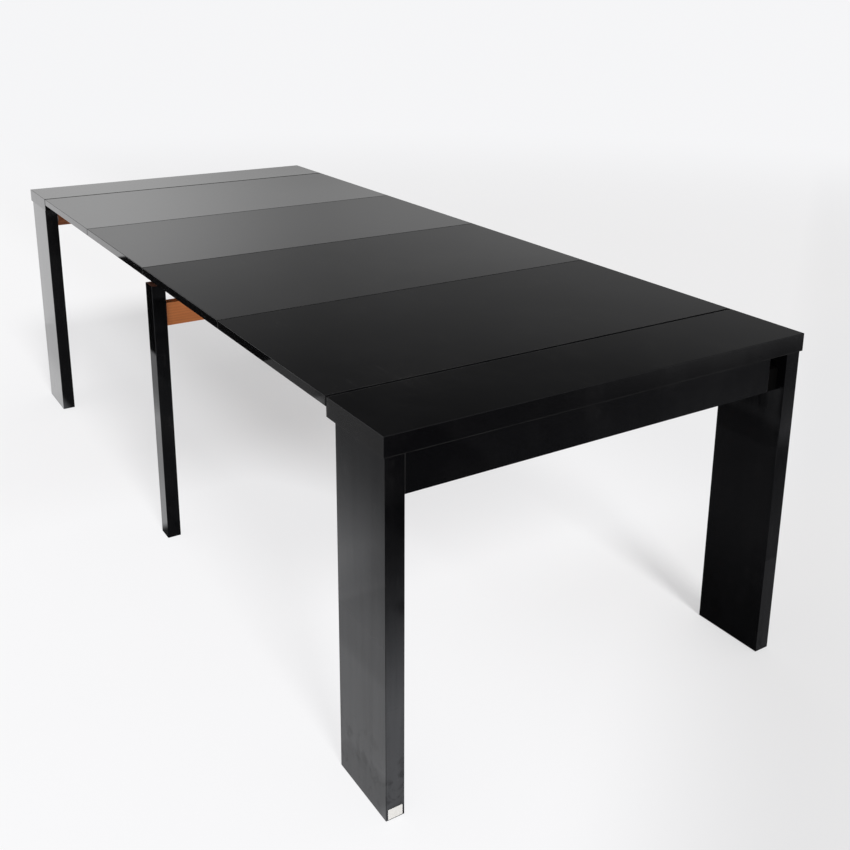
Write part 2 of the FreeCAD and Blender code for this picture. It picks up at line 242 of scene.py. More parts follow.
def hairlines(tree, coords, scale, width):
    """Thin scratches along the axis with the least scale."""
    level = noise(tree, stretched(tree, coords, scale), *SCRATCH_NOISE)
    away = calc(tree, "ABSOLUTE", calc(tree, "SUBTRACT", level, 0.5))
    return ramped(tree, away, width, 0.0)


def scuffs(tree, coords):
    """Flecks of dust and scratches that lie in patches."""
    patchy = clouds(tree, coords, PATCH_NOISE, PATCH_CUT)
    cells = add(tree, "ShaderNodeTexVoronoi", {"Vector": coords, "Scale": FLECK_SCALE}).outputs["Distance"]
    flecks = product(tree, ramped(tree, cells, *FLECK_CUT), patchy, FLECK_SHARE)
    lines = calc(tree, "MAXIMUM", hairlines(tree, coords, *LONG_SCRATCHES),
                 hairlines(tree, coords, *UPRIGHT_SCRATCHES))
    return calc(tree, "ADD", flecks, product(tree, lines, patchy, SCRATCH_SHARE))


def ledge_highlight_line(tree, spot, uneven, height):
    """A painted highlight line in the level joint under a panel."""
    line = within(tree, spot.axes["Z"], height, HIGHLIGHT_LINE_REACH)
    return product(tree, line, spot.upright, uneven, LEDGE_SHARE)


def joint_highlight_line(tree, spot, uneven, inner, low):
    """A painted highlight line in the upright joint of an apron and the leg that it meets, across from its
    notch.
    """
    line = within(tree, calc(tree, "ABSOLUTE", spot.axes["Y"]), inner, HIGHLIGHT_LINE_REACH)
    above = calc(tree, "GREATER_THAN", spot.axes["Z"], low)
    outward = calc(tree, "ABSOLUTE", spot.turned["X"])
    joined = calc(tree, "LESS_THAN", product(tree, spot.axes["X"], spot.axes["Y"]), 0.0)
    return product(tree, line, above, outward, joined, uneven, JOINT_SHARE)


def general_wear(tree, spot, scuff_and_highlight):
    """Masks of the wear that all lacquer has, each with what it does."""
    sides = parted(tree, vector_calc(tree, "ABSOLUTE", spot.facing).outputs[0])
    flattest = calc(tree, "MAXIMUM", calc(tree, "MAXIMUM", sides["X"], sides["Y"]), sides["Z"])
    edge = ramped(tree, flattest, *EDGE_CUT)
    streak = clouds(tree, stretched(tree, spot.coords, STREAK_STRETCH), STREAK_NOISE, STREAK_CUT)
    blot = product(tree, clouds(tree, spot.coords, BLOT_NOISE, BLOT_CUT), spot.upright,
                   ramped(tree, spot.axes["Z"], *BLOT_HEIGHT))
    underside = ramped(tree, spot.turned["Z"], *UNDERSIDE_CUT)
    return [(edge, EDGE_WEAR), (product(tree, streak, spot.upright), STREAK_WEAR), (blot, BLOT_WEAR),
            (scuff_and_highlight, SCUFF_WEAR), (underside, UNDERSIDE_WEAR)]


def share_along(tree, spot, depth):
    """How far a point lies along its board, as a share of the board's depth."""
    return calc(tree, "FRACT", calc(tree, "DIVIDE", calc(tree, "ADD", spot.axes["X"], HALF_RUN), depth))


def seam_mask(tree, spot):
    """Bands along the seams of the top, broader towards both ends of the table."""
    along = share_along(tree, spot, LEAF_DEPTH)
    inward = calc(tree, "SUBTRACT", 0.5, calc(tree, "ABSOLUTE", calc(tree, "SUBTRACT", along, 0.5)))
    breadth = ramped(tree, calc(tree, "ABSOLUTE", spot.axes["X"]), *SEAM_BREADTH)
    share = calc(tree, "DIVIDE", calc(tree, "MULTIPLY", inward, LEAF_DEPTH), breadth)
    return ramped(tree, share, *SEAM_CUT)


def inner_wear(tree, spot, height):
    """A leg's inner side, dull above a height and in a band below it."""
    inward = product(tree, spot.turned["Y"], calc(tree, "SIGN", spot.axes["Y"]))
    inner = calc(tree, "LESS_THAN", inward, -FACING)
    start, end = BAND_RISE
    band = ramped(tree, spot.axes["Z"], height + start, height + end)
    above = calc(tree, "GREATER_THAN", spot.axes["Z"], height)
    return [(product(tree, inner, band), BAND_WEAR), (product(tree, inner, above), INNER_WEAR)]


def worn_gloss(tree, smudge, wear):
    """The gloss and the roughness that the wear leaves."""
    loss = 0.0
    rough = calc(tree, "ADD", calc(tree, "MULTIPLY", smudge, SMUDGE_ROUGHNESS), BASE_ROUGHNESS)
    for mask, (lost, added) in wear:
        loss = calc(tree, "ADD", loss, calc(tree, "MULTIPLY", mask, lost), clamp=True)
        rough = calc(tree, "ADD", rough, calc(tree, "MULTIPLY", mask, added))
    gloss = calc(tree, "MULTIPLY", calc(tree, "SUBTRACT", 1.0, loss), FULL_GLOSS)
    return gloss, rough


def sagged(tree, spot, normal, depth, cup):
    """The normal of a board that sags a little between its edges, with the cup as its slope there."""
    middle = calc(tree, "SUBTRACT", share_along(tree, spot, depth), 0.5)
    slope = product(tree, middle, -2.0 * cup, spot.turned["Z"])
    lean = add(tree, "ShaderNodeCombineXYZ", {"X": slope}).outputs[0]
    leant = vector_calc(tree, "ADD", normal, lean).outputs[0]
    return vector_calc(tree, "NORMALIZE", leant).outputs[0]


def lacquer(name, ior, daylight_tint, coat=0.0, board=None, ledge=None, joint=None, dull_above=None, raw_above=None):
    """Black high-gloss lacquer with dust, scuffs, worn edges and a faint ripple.

    A board of the top, given by its depth and its cup, sags, is worn along the seams and has its coat on its
    upright sides. Painted highlight lines lie under a panel at its ledge and in the joint of apron and leg.
    A leg's inner side is left unpolished above a height, and its top is raw wood above another. The daylight
    tint paints the cool colour of the daylight into the gloss.
    """
    material, tree, shader, coords = new_material(name)
    spot = surface(tree, coords)
    smudge = clouds(tree, coords, SMUDGE_NOISE, SMUDGE_CUT)
    scuff_and_highlight = scuffs(tree, coords)
    uneven = noise(tree, coords, *JOINT_NOISE)
    # Painted highlight lines under a panel and in the joint of apron and leg join the scuffs
    if ledge is not None:
        scuff_and_highlight = calc(tree, "ADD", scuff_and_highlight, ledge_highlight_line(tree, spot, uneven, ledge))
    if joint is not None:
        scuff_and_highlight = calc(tree, "ADD", scuff_and_highlight, joint_highlight_line(tree, spot, uneven, joint, dull_above))

    wear = general_wear(tree, spot, scuff_and_highlight)
    normal = bumped(tree, noise(tree, coords, *RIPPLE_NOISE), RIPPLE_HEIGHT)
    if board is not None:
        wear.append((seam_mask(tree, spot), SEAM_WEAR))
        normal = sagged(tree, spot, normal, *board)
        coat = product(tree, spot.upright, coat)
    if dull_above is not None:
        wear += inner_wear(tree, spot, dull_above)
    gloss, rough = worn_gloss(tree, smudge, wear)

    haze = calc(tree, "MULTIPLY", smudge, SMUDGE_HAZE)
    # Dust, finger marks and the painted highlight lines lighten the black
    tone = blended(tree, calc(tree, "ADD", scuff_and_highlight, haze, clamp=True), LACQUER_TONE, DUST_AND_HIGHLIGHT_TONE)
    if raw_above is not None:
        raw = product(tree, calc(tree, "GREATER_THAN", spot.axes["Z"], raw_above),
                      calc(tree, "GREATER_THAN", spot.turned["Z"], FACING))
        tone = blended(tree, raw, tone, RAW_TONE)
        rough = calc(tree, "ADD", rough, calc(tree, "MULTIPLY", raw, RAW_ROUGHNESS))
    # The daylight tint paints the cool colour of the daylight into the gloss
    set_inputs(tree, shader, Base_Color=tone, Roughness=rough, Specular_IOR_Level=gloss, Normal=normal,
               IOR=ior, Specular_Tint=daylight_tint, Coat_Weight=coat)
    return material


# Woods, as dark and light tones
RAIL_TONES = ((0.58, 0.166, 0.040, 1.0), (0.86, 0.290, 0.076, 1.0))
# The far rail's tones are a darker copy of the rail's: painted shade
SHADED_FAR_RAIL_TONES = ((0.42, 0.115, 0.034, 1.0), (0.64, 0.210, 0.068, 1.0))
SLIDE_TONES = ((0.36, 0.215, 0.110, 1.0), (0.56, 0.375, 0.215, 1.0))
OTHER_SIDES_TONE = (0.0020, 0.0019, 0.0019, 1.0)
OTHER_SIDES_GLOSS = 0.1
BARE_GLOSS = 0.4

# Grain: how often a feature repeats across the wood and along it, its noise and its share of the tone
WANDER_REPEAT = (9.0, 1.2)
WANDER_NOISE = (1.0, 3.0)
WANDER_MIDDLE = 0.35
WANDER_SHARE = 0.55
RING_REPEAT = (1.0, 0.05)
RING_CENTRE = (0.11, 0.07, 0.09)
RING_WAVE = {"Scale": 42.0, "Distortion": 5.0, "Detail": 3.0, "Detail Scale": 0.6}
RING_SHARE = 0.30
FIBRE_REPEAT = (520.0, 9.0)
FIBRE_NOISE = (1.0, 4.0, 0.65)
FIBRE_SHARE = 0.55
PORE_REPEAT = (900.0, 55.0)
PORE_NOISE = (1.0, 1.0)
PORE_CUT = (0.66, 0.76)
PORE_SHARE = 0.45
GRAIN_HEIGHT = 0.00012
GRAIN_STRENGTH = 0.6
DARK_ROUGHNESS = 0.58
LIGHT_SMOOTHING = 0.14


def wood(name, along, tones, bare=None):
    """Planed hardwood with growth rings, fibres and pores along an axis.

    Where a bare side is given, as a sign along X, the other sides are black.
    """
    material, tree, shader, coords = new_material(name)

    def drawn(repeat, shift=(0.0, 0.0, 0.0)):
        across, lengthwise = repeat
        scale = tuple(lengthwise if axis == along else across for axis in "XYZ")
        return stretched(tree, coords, scale, shift)

    wander = calc(tree, "SUBTRACT", noise(tree, drawn(WANDER_REPEAT), *WANDER_NOISE), WANDER_MIDDLE)
    rings = add(tree, "ShaderNodeTexWave", {"Vector": drawn(RING_REPEAT, RING_CENTRE), **RING_WAVE},
                wave_type="RINGS", rings_direction=along, wave_profile="SIN").outputs["Fac"]
    fibres = noise(tree, drawn(FIBRE_REPEAT), *FIBRE_NOISE)
    pores = clouds(tree, drawn(PORE_REPEAT), PORE_NOISE, PORE_CUT)
    share = calc(tree, "ADD", calc(tree, "MULTIPLY", rings, RING_SHARE),
                 calc(tree, "MULTIPLY", fibres, FIBRE_SHARE))
    share = calc(tree, "ADD", share, calc(tree, "MULTIPLY", wander, WANDER_SHARE), clamp=True)
    share = calc(tree, "SUBTRACT", share, calc(tree, "MULTIPLY", pores, PORE_SHARE), clamp=True)
    tone = blended(tree, share, *tones)
    rough = calc(tree, "SUBTRACT", DARK_ROUGHNESS, calc(tree, "MULTIPLY", share, LIGHT_SMOOTHING))
    # Sides other than the bare one are black and less glossy
    if bare is not None:
        facing = add(tree, "ShaderNodeNewGeometry").outputs["Normal"]
        inner = calc(tree, "GREATER_THAN", product(tree, parted(tree, facing)["X"], bare), FACING)
        tone = blended(tree, inner, OTHER_SIDES_TONE, tone)
        gloss = calc(tree, "ADD", calc(tree, "MULTIPLY", inner, BARE_GLOSS), OTHER_SIDES_GLOSS)
        set_inputs(tree, shader, Specular_IOR_Level=gloss)
    normal = bumped(tree, calc(tree, "SUBTRACT", fibres, pores), GRAIN_HEIGHT, GRAIN_STRENGTH)
    set_inputs(tree, shader, Base_Color=tone, Roughness=rough, Normal=normal)
    return material


# Metals, felt and paper
STEEL_TONES = ((0.42, 0.43, 0.45, 1.0), (0.62, 0.63, 0.66, 1.0))
STEEL_ROUGHNESS = 0.34
BRASS_TONES = ((0.60, 0.40, 0.15, 1.0), (0.80, 0.60, 0.28, 1.0))
BRASS_ROUGHNESS = 0.26
BRUSH_STRETCH = (600.0, 600.0, 3000.0)
BRUSH_NOISE = (1.0, 2.0)
BRUSH_CUT = (0.3, 0.7)
BRUSH_SPREAD = (-0.08, 0.12)
BRUSH_HEIGHT = 0.00002
SPOT_NOISE = (140.0, 3.0)
FELT_TONES = ((0.018, 0.018, 0.019, 1.0), (0.070, 0.068, 0.066, 1.0))
FELT_NOISE = (1400.0, 4.0, 0.7)
FELT_HEIGHT = 0.0006
FELT_ROUGHNESS = 0.95
FELT_SHEEN = 0.4
PAPER_TONES = ((0.58, 0.570, 0.550, 1.0), (0.71, 0.700, 0.680, 1.0))
PAPER_NOISE = (260.0, 3.0)
PAPER_HEIGHT = 0.00003
PAPER_ROUGHNESS = 0.42


def metal(name, tones, rough):
    """Plated or turned metal with fine brushing and dull spots."""
    material, tree, shader, coords = new_material(name)
    brushed = noise(tree, stretched(tree, coords, BRUSH_STRETCH), *BRUSH_NOISE)
    tone = blended(tree, noise(tree, coords, *SPOT_NOISE), *tones)
    dull = ramped(tree, brushed, *BRUSH_CUT, *(rough + change for change in BRUSH_SPREAD))
    normal = bumped(tree, brushed, BRUSH_HEIGHT)
    set_inputs(tree, shader, Base_Color=tone, Metallic=1.0, Roughness=dull, Normal=normal)
    return material


def felt(name):
    """Pressed wool felt."""
    material, tree, shader, coords = new_material(name)
    tufts = noise(tree, coords, *FELT_NOISE)
    set_inputs(tree, shader, Base_Color=blended(tree, tufts, *FELT_TONES), Roughness=FELT_ROUGHNESS,
               Sheen_Weight=FELT_SHEEN, Normal=bumped(tree, tufts, FELT_HEIGHT))
    return material


def paper(name):
    """Off-white coated paper."""
    material, tree, shader, coords = new_material(name)
    mottle = noise(tree, coords, *PAPER_NOISE)
    set_inputs(tree, shader, Base_Color=blended(tree, mottle, *PAPER_TONES), Roughness=PAPER_ROUGHNESS,
               Normal=bumped(tree, mottle, PAPER_HEIGHT))
    return material


# Finishes of the frame's nodes, by how a name starts and what else is in it
RAW_DEPTH = 0.0002

leaf_lacquer = lacquer("leaf_lacquer", BOARD_IOR, BOARD_DAYLIGHT_TINT, BOARD_COAT, board=(LEAF_DEPTH, LEAF_CUP))
panel_lacquer = lacquer("panel_lacquer", BOARD_IOR, BOARD_DAYLIGHT_TINT, BOARD_COAT, board=(PANEL_DEPTH, PANEL_CUP),
                        ledge=PANEL_LOW)
frame_lacquer = lacquer("frame_lacquer", FRAME_IOR, FRAME_DAYLIGHT_TINT, joint=LEG_INNER, dull_above=APRON_LOW)
far_lacquer = lacquer("far_leg_lacquer", FAR_IOR, FRAME_DAYLIGHT_TINT, FAR_COAT, dull_above=APRON_LOW)
mid_lacquer = lacquer("mid_leg_lacquer", FRAME_IOR, FRAME_DAYLIGHT_TINT, raw_above=MID_LEG_TOP - RAW_DEPTH)
rail_wood = wood("rail_wood", "Y", RAIL_TONES)
near_rail = wood("near_rail_wood", "Y", RAIL_TONES, 1.0)
# The far rail takes the darker tones, painted shade
shaded_far_rail = wood("shaded_far_rail_wood", "Y", SHADED_FAR_RAIL_TONES, -1.0)
slide_wood = wood("slide_wood", "X", SLIDE_TONES)
tie_wood = wood("tie_wood", "Y", SLIDE_TONES)
steel = metal("zinc_steel", STEEL_TONES, STEEL_ROUGHNESS)
brass = metal("turned_brass", BRASS_TONES, BRASS_ROUGHNESS)
glide_felt = felt("glide_felt")

FINISHES = (
    (("leaf_", "_pins"), brass),
    (("leaf_", "_batten_"), tie_wood),
    (("leaf_", ""), leaf_lacquer),
    (("", "_panel"), panel_lacquer),
    (("", "_glides"), glide_felt),
    (("", "_brackets"), steel),
    (("near_carrier", ""), near_rail),
    (("far_carrier", ""), shaded_far_rail),
    (("far_leg", ""), far_lacquer),
    (("mid_leg", ""), mid_lacquer),
    (("mid_rail", ""), rail_wood),
    (("riser", ""), rail_wood),
    (("tie", ""), tie_wood),
    (("slide", ""), slide_wood),
    (("", ""), frame_lacquer),
)


def finish_node(name):
    """Gives a piece of the frame the first finish that its name fits."""
    fitting = (finish for (head, part), finish in FINISHES if name.startswith(head) and part in name)
    slots = nodes[name].data.materials
    slots.clear()
    slots.append(next(fitting))


# Small pieces
LABEL_RISE = 0.0120
LABEL_HALVES = (0.0149, 0.0104)
LABEL_CORNER = 0.0006
LABEL_THICK = 0.00025
LABEL_STEPS = 4
SCREW_RADIUS = 0.0035
SCREW_SIDES = 20
SCREW_EDGE = 0.00012
SCREW_DOME = 0.0004
SCREW_CROWN = 0.78
CROSS_REACH = 0.55 * SCREW_RADIUS
CROSS_ARM = 0.15 * SCREW_RADIUS
CROSS_DEPTH = 0.0011
CROSS_TAPER = 0.7
BRACKET_THICK = 0.002
BRACKET_SCREW = 0.018
BATTEN_SCREWS = (-0.46, -0.15, 0.15, 0.46)


def mesh_piece(name, shape, material, body):
    """A new piece from a bmesh, riding on a body."""
    data = bpy.data.meshes.new(name)
    bmesh.ops.recalc_face_normals(shape, faces=shape.faces)
    shape.to_mesh(data)
    shape.free()
    data.materials.append(material)
    piece = bpy.data.objects.new(name, data)
    scene.collection.objects.link(piece)
    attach(piece, body)
    return piece


def wall(shape, lower, upper):
    """A ring of faces between two loops of vertices."""
    for index in range(len(lower)):
        after = (index + 1) % len(lower)
        shape.faces.new((lower[index], lower[after], upper[after], upper[index]))


def label():
    """A small bare paper rectangle with rounded corners on the end face of the near left leg's foot."""
    low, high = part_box("near_leg_left")
    centre = Vector((low.x, (low.y + high.y) / 2, low.z + LABEL_RISE))
    outline = []
    for quarter, ways in enumerate(((1, -1), (1, 1), (-1, 1), (-1, -1)), start=-1):
        middle = Vector([way * (half - LABEL_CORNER) for way, half in zip(ways, LABEL_HALVES)])
        for step in range(LABEL_STEPS + 1):
            turn = Matrix.Rotation((quarter + step / LABEL_STEPS) * math.pi / 2, 2)
            outline.append(middle + turn @ Vector((LABEL_CORNER, 0.0)))
    shape = bmesh.new()
    back = [shape.verts.new(centre + Vector((0.0, *flat))) for flat in outline]
    front = [shape.verts.new(centre + Vector((-LABEL_THICK, *flat))) for flat in outline]
    shape.faces.new(front)
    shape.faces.new(back[::-1])
    wall(shape, back, front)
    mesh_piece("foot_label", shape, paper("label_paper"), "near_end")


def screw_head(shape, point, facing):
    """A domed head with a cross recess, at a point of a surface."""
    turned = facing.to_track_quat("Z", "Y").to_matrix()

    def loop(outline, height, share=1.0):
        return [shape.verts.new(point + turned @ Vector((share * across, share * tall, height)))
                for across, tall in outline]

    circle = [Matrix.Rotation(math.tau * index / SCREW_SIDES, 2) @ Vector((SCREW_RADIUS, 0.0))
              for index in range(SCREW_SIDES)]
    arm = [(CROSS_REACH, -CROSS_ARM), (CROSS_REACH, CROSS_ARM), (CROSS_ARM, CROSS_ARM)]
    cross = []
    for _ in range(4):
        cross += arm
        arm = [(-tall, across) for across, tall in arm]
    ring = loop(circle, SCREW_EDGE)
    skirt = loop(circle, 0.0)
    crown = loop(circle, SCREW_DOME, SCREW_CROWN)
    mouth = loop(cross, SCREW_DOME)
    floor = loop(cross, SCREW_DOME - CROSS_DEPTH, CROSS_TAPER)
    wall(shape, skirt, ring)
    wall(shape, ring, crown)
    wall(shape, floor, mouth)
    shape.faces.new(floor)
    edges = [shape.edges.get((verts[index], verts[index - 1]))
             for verts in (crown, mouth) for index in range(len(verts))]
    bmesh.ops.triangle_fill(shape, edges=edges, use_beauty=True)


def screw_heads(name, body, spots):
    """Screw heads, each given by a point on a surface and the way that it faces."""
    shape = bmesh.new()
    for point, facing in spots:
        screw_head(shape, point, facing)
    mesh_piece(name, shape, steel, body)


def bracket_screws(end, outward):
    """Two screws to each bracket, one into the rail and one into the leg."""
    low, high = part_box(end + "_brackets")
    rail_face = low.x if outward < 0 else high.x
    height = (low.z + high.z) / 2
    spots = []
    for side, leg_face in ((-1, low.y), (1, high.y)):
        into_rail = Vector((rail_face - outward * BRACKET_THICK, leg_face - side * BRACKET_SCREW, height))
        into_leg = Vector((rail_face - outward * BRACKET_SCREW, leg_face - side * BRACKET_THICK, height))
        spots.append((into_rail, Vector((-outward, 0, 0))))
        spots.append((into_leg, Vector((0, -side, 0))))
    screw_heads(end + "_bracket_screws", end + "_end", spots)


def batten_screws(number):
    """Screws up through the battens of a leaf, clear of the slides."""
    spots = []
    for side in ("near", "far"):
        low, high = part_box("leaf_%d_batten_%s" % (number, side))
        for across in BATTEN_SCREWS:
            spots.append((Vector(((low.x + high.x) / 2, across, low.z)), Vector((0, 0, -1))))
    screw_heads("leaf_%d_screws" % number, "leaf_%d" % number, spots)


# Floor: its tones, and the painted light that the camera and the gloss see on it beside that of the lamp
FLOOR_REACH = (-400.0, 400.0)
FLOOR_TONES = ((0.90, 0.90, 0.905, 1.0), (0.885, 0.883, 0.885, 1.0))
FLOOR_NOISE = (1.3, 3.0)
FLOOR_ROUGHNESS = 0.75
GLOW_TONE = (0.985, 0.986, 1.0, 1.0)
BRIGHT_GLOW = 0.995
# Painted shade: the painted light is dimmer before the near end and to the right
DIM_WAY = (0.795, 0.606, 0.0)
DIM_GLOW = (-1.36, -0.90, 0.80, BRIGHT_GLOW)
RIGHT_GLOW = (-1.25, -0.45, 0.86, BRIGHT_GLOW)
BACKDROP_LEVEL = 0.93
BACKDROP_REACH = (3.0, 8.0)
# Share of that painted light over the real shadow, by the near end over Y, further on over X, more to the
# left
NEAR_SHARE = (-0.65, 0.25, 0.50, 0.80)
FAR_SHARE = (-0.25, 0.60, 0.74, 0.44)
LEFT_SHARE = (-0.15, 0.20, 0.0, 0.20)
MOST_SHARE = 0.78
SHARE_TURN = (-0.85, -0.55)

# Dark sheets that only the lacquer shows, painted dark reflections: where they stand and how dense they are
DARK_REFLECTION_TONE = (0.005, 0.005, 0.005, 1.0)
FRONT_X = -1.45
FRONT_ENDS = (1.6, -2.6)
FRONT_TOP = 0.74
FRONT_LEFT_RISE = (-0.04, 0.38, 0.0, 0.95)
FRONT_RIGHT_RISE = (0.0, 0.55, 0.32, 0.91)
FRONT_RIGHT_FALL = (0.80, 0.55)
FRONT_TURN = (0.05, -0.55)
FRONT_FADES = ((FRONT_TOP, 0.62), (FRONT_ENDS[0], 1.0), (FRONT_ENDS[1], -1.4))
SIDE_Y = 0.75
SIDE_ENDS = (-1.8, -0.42)
SIDE_TOP = 0.72
SIDE_RISE = (-0.05, 0.46, 0.0, 0.80)
SIDE_FADES = ((SIDE_TOP, 0.53), (SIDE_ENDS[0], -1.2), (SIDE_ENDS[1], -0.52))

# Painted shade of the floor in the gloss, in patches: reach along X and along Y, soft border and density
OVER_FLOOR_REACH = ((-2.8, 3.1), (-2.0, 1.5))
OVER_FLOOR_HEIGHT = 0.001
UNDER_RIGHT = ((-1.20, 1.20), (-0.46, 0.10), 0.03)
UNDER_NEAR_DENSITY = (-0.44, 0.08, 0.975, 0.925)
UNDER_FAR_DENSITY = 0.965
UNDER_TURN = (-0.5, -0.2)
FLOOR_PATCHES = {
    "under_left": ((-1.20, 1.20), (0.10, 0.46), 0.03, 0.925),
    "before_near_end": ((-1.75, -1.15), (-0.42, 0.10), 0.06, 0.96),
    "further_before": ((-2.2, -1.70), (-0.50, -0.08), 0.06, 0.93),
    "furthest_before": ((-2.7, -2.2), (-0.50, -0.08), 0.08, 0.62),
    "before_right": ((-1.87, -1.20), (-1.8, -0.50), 0.14, 0.79),
    "near_foot": ((-1.15, -0.98), (0.46, 0.53), 0.05, 0.36),
    "left_of_near_leaf": ((-0.90, -0.55), (0.70, 1.20), 0.09, 0.37),
    "left_of_near_end": ((-1.02, -0.50), (0.46, 1.20), 0.20, 0.28),
    "beside_middle": ((-0.47, 0.02), (0.44, 0.64), 0.05, 0.95),
    "left_of_middle": ((-0.29, 0.10), (0.58, 0.81), 0.05, 0.95),
    "left_of_far_leaves": ((0.20, 2.0), (0.62, 0.68), 0.08, 0.14),
    "left_of_far_end": ((0.90, 2.0), (0.84, 1.05), 0.18, 0.55),
    "beyond_far_left": ((1.40, 2.60), (0.94, 1.24), 0.025, 1.0),
    "brim": ((1.13, 3.0), (1.22, 1.40), 0.05, 0.993),
    "brim_end": ((0.70, 1.13), (1.24, 1.40), 0.08, 0.80),
}


def plain_sheet(name, corners, material):
    """A flat four-cornered sheet of the stage."""
    data = bpy.data.meshes.new(name)
    data.from_pydata(corners, [], [(0, 1, 2, 3)])
    data.materials.append(material)
    sheet = bpy.data.objects.new(name, data)
    scene.collection.objects.link(sheet)
    return sheet


def level_corners(reach_x, reach_y, height):
    """Corners of a level rectangle."""
    (left, right), (low, high) = reach_x, reach_y
    return [(x, y, height) for x, y in ((left, low), (right, low), (right, high), (left, high))]


def upright_corners(first, second, top):
    """Corners of an upright rectangle on the floor over two points of it."""
    return [(*first, 0.0), (*second, 0.0), (*second, top), (*first, top)]


def seen_share(tree):
    """One for the camera and for what gloss and glass show."""
    rays = add(tree, "ShaderNodeLightPath").outputs
    share = calc(tree, "MAXIMUM", rays["Is Camera Ray"], rays["Is Glossy Ray"])
    return calc(tree, "MAXIMUM", share, rays["Is Transmission Ray"])


def painted_glow_level(tree, coords, y):
    """Brightness of the floor's painted light, with painted shade before the near end and to the right."""
    along = vector_calc(tree, "DOT_PRODUCT", coords, DIM_WAY).outputs["Value"]
    return calc(tree, "MINIMUM", ramped(tree, along, *DIM_GLOW), ramped(tree, y, *RIGHT_GLOW))


def painted_glow_share(tree, x, y):
    """Share of the floor's painted light in what is seen, set by place; where it is less, more real shadow
    shows.
    """
    near = ramped(tree, y, *NEAR_SHARE)
    far = calc(tree, "ADD", ramped(tree, x, *FAR_SHARE), ramped(tree, y, *LEFT_SHARE))
    far = calc(tree, "MINIMUM", far, MOST_SHARE)
    return between(tree, ramped(tree, x, *SHARE_TURN), near, far)


def pale_floor():
    """A wide white floor with painted light and shade that keeps a light shadow and runs out into the
    backdrop.
    """
    material, tree, shader, coords = new_material("pale_floor")
    tone = blended(tree, noise(tree, coords, *FLOOR_NOISE), *FLOOR_TONES)
    set_inputs(tree, shader, Base_Color=tone, Roughness=FLOOR_ROUGHNESS)
    axes = parted(tree, coords)
    distant = ramped(tree, vector_calc(tree, "LENGTH", coords).outputs["Value"], *BACKDROP_REACH)
    # The painted light and its painted shade give way to the plain backdrop far off
    level = between(tree, distant, painted_glow_level(tree, coords, axes["Y"]), BACKDROP_LEVEL)
    glow = add(tree, "ShaderNodeEmission", {"Color": GLOW_TONE, "Strength": level}).outputs[0]
    share = between(tree, distant, painted_glow_share(tree, axes["X"], axes["Y"]), 1.0)
    share = calc(tree, "MULTIPLY", seen_share(tree), share)
    mixed = add(tree, "ShaderNodeMixShader", {0: share, 1: shader.outputs[0], 2: glow}).outputs[0]
    tree.links.new(mixed, tree.nodes["Material Output"].inputs["Surface"])
    plain_sheet("floor", level_corners(FLOOR_REACH, FLOOR_REACH, 0.0), material)


def dark_reflection_sheet(name, corners, density):
    """A dark sheet seen only in the lacquer, a painted dark reflection, as dense as a function of its
    coordinates says.
    """
    material = bpy.data.materials.new(name)
    material.use_nodes = True
    tree = material.node_tree
    tree.nodes.clear()
    axes = parted(tree, add(tree, "ShaderNodeTexCoord").outputs["Object"])
    share = density(tree, axes["X"], axes["Y"], axes["Z"])
    clear = add(tree, "ShaderNodeBsdfTransparent").outputs[0]
    dark = add(tree, "ShaderNodeBsdfDiffuse", {"Color": DARK_REFLECTION_TONE}).outputs[0]
    mixed = add(tree, "ShaderNodeMixShader", {0: share, 1: clear, 2: dark}).outputs[0]
    add(tree, "ShaderNodeOutputMaterial", {"Surface": mixed})
    reflection_sheet = plain_sheet(name, corners, material)
    reflection_sheet.visible_camera = False
    reflection_sheet.visible_diffuse = False
    reflection_sheet.visible_shadow = False
    reflection_sheet.visible_transmission = False


def front_density(tree, x, y, z):
    """Clear at the foot on the left, dense above, and more even on the right."""
    left = ramped(tree, z, *FRONT_LEFT_RISE)
    right = product(tree, ramped(tree, z, *FRONT_RIGHT_RISE), ramped(tree, z, *FRONT_RIGHT_FALL))
    share = between(tree, ramped(tree, y, *FRONT_TURN), left, right)
    fades = [ramped(tree, along, *fade) for along, fade in zip((z, y, y), FRONT_FADES)]
    return product(tree, share, *fades)


def side_density(tree, x, y, z):
    """Thins out towards the foot and all borders."""
    fades = [ramped(tree, along, *fade) for along, fade in zip((z, x, x), SIDE_FADES)]
    return product(tree, ramped(tree, z, *SIDE_RISE), *fades)


def patch(tree, x, y, reach_x, reach_y, soft, density):
    """A rectangle of the floor that is dense inside and fades over its borders."""
    borders = []
    for value, (low, high) in ((x, reach_x), (y, reach_y)):
        borders.append(ramped(tree, value, low - soft, low))
        borders.append(ramped(tree, value, high + soft, high))
    return product(tree, *borders, density)


def floor_density(tree, x, y, z):
    """Painted shade of the floor in the gloss: dense under the table and before its right half, thinner to
    its left.
    """
    near = ramped(tree, y, *UNDER_NEAR_DENSITY)
    density = between(tree, ramped(tree, x, *UNDER_TURN), near, UNDER_FAR_DENSITY)
    share = patch(tree, x, y, *UNDER_RIGHT, density)
    for place in FLOOR_PATCHES.values():
        share = calc(tree, "MAXIMUM", share, patch(tree, x, y, *place))
    return share


# Light
AMBIENT = (0.47, 0.46295, 0.45825, 1.0)
BACKDROP = (*(BACKDROP_LEVEL * part for part in GLOW_TONE[:3]), 1.0)
KEY_STRENGTH = 2.60
KEY_SPREAD = 0.24
KEY_TRAVEL = Vector((1.0, -0.16, -0.80))
